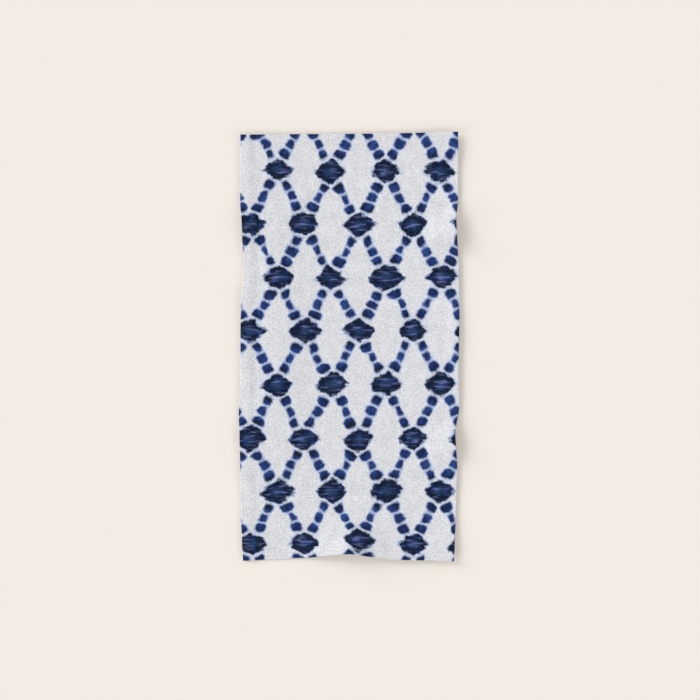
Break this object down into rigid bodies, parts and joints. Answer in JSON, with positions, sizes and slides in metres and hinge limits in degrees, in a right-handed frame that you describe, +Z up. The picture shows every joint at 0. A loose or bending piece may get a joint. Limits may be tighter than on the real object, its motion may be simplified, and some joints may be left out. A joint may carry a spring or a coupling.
{
  "type": "bath towel",
  "caption": "Printed terry bath towel lying flat and face up, with soft folds lifting its long edges and one hem.",
  "frame": {"origin": "on the surface that the towel rests on, under the middle of its outline", "axes": "+Z up from the surface, +Y along the towel's length, away from the hem with the large fold, +X across its width"},
  "size_m": [0.7213, 1.402, 0.0398],
  "materials": {
    "printed_terry": "soft cotton pile, pale ground with an indigo resist-dyed pattern"
  },
  "bodies": {
    "root": {"towel": "printed_terry"}
  },
  "joints": []
}
